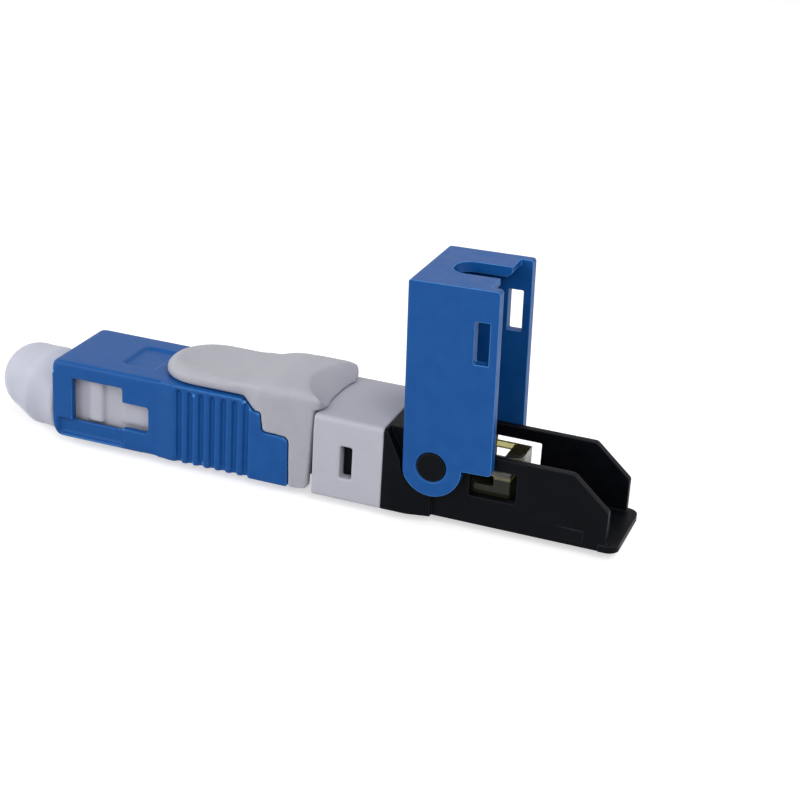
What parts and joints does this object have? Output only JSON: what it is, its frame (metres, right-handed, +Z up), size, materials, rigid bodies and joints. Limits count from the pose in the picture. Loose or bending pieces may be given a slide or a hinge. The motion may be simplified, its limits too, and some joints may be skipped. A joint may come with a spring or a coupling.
{
  "type": "fibre optic connector",
  "caption": "Push-pull fibre connector for field fitting: ribbed shell, sliding lock, dust cap, splice inside and a hinged cover standing open over the cable channel.",
  "frame": {"origin": "on the flat underside of the cable base, directly below the cover's hinge axis, on the middle plane", "axes": "+X along the connector towards the cable, +Y across it along the hinge axis, +Z up from the underside"},
  "size_m": [0.06, 0.0098, 0.0221],
  "materials": {
    "cap_plastic": "translucent satin",
    "blue_plastic": "fine satin",
    "white_plastic": "satin",
    "grey_plastic": "satin",
    "zirconia": "polished ceramic",
    "holder_metal": "bright",
    "spring_steel": "bright",
    "fibre_glass": "clear",
    "inner_plastic": "satin",
    "black_plastic": "fine satin",
    "amber_plastic": "clear moulded"
  },
  "bodies": {
    "connector": {"plug_frame": "white_plastic", "splice_housing": "black_plastic", "main_body": "white_plastic", "cable_base": "black_plastic", "fibre_guide": "amber_plastic", "ferrule_spring": "spring_steel"},
    "ferrule_unit": {"ferrule": "zirconia", "ferrule_holder": "holder_metal", "fibre_stub": "fibre_glass", "splice_base": "inner_plastic", "splice_lid_front": "inner_plastic", "splice_lid_rear": "inner_plastic", "splice_clip": "spring_steel"},
    "grip": {"outer_housing": "blue_plastic"},
    "slider": {"lock_slider": "grey_plastic", "clamp_sleeve": "grey_plastic"},
    "cap": {"dust_cap": "cap_plastic"},
    "cover": {"cable_cover": "blue_plastic"}
  },
  "joints": [
    {"name": "ferrule_float", "type": "slide", "parent": "connector", "child": "ferrule_unit", "axis": [1, 0, 0], "range_m": [0, 0.0015], "stiffness_N_per_m": 1500, "springref_m": -0.004, "deforming": ["ferrule_spring"]},
    {"name": "shell_travel", "type": "slide", "parent": "connector", "child": "grip", "axis": [-1, 0, 0], "range_m": [0, 0.002]},
    {"name": "slider_travel", "type": "slide", "parent": "connector", "child": "slider", "axis": [-1, 0, 0], "range_m": [0, 0.002]},
    {"name": "cap_pull", "type": "slide", "parent": "grip", "child": "cap", "axis": [-1, 0, 0], "range_m": [0, 0.01]},
    {"name": "cover_hinge", "type": "hinge", "parent": "connector", "child": "cover", "pos_m": [0, 0, 0.00488], "axis": [0, 1, 0], "range_deg": [-15, 91.5]}
  ],
  "couplings": [
    {"joint": "slider_travel", "follows": "shell_travel", "ratio": 1}
  ]
}
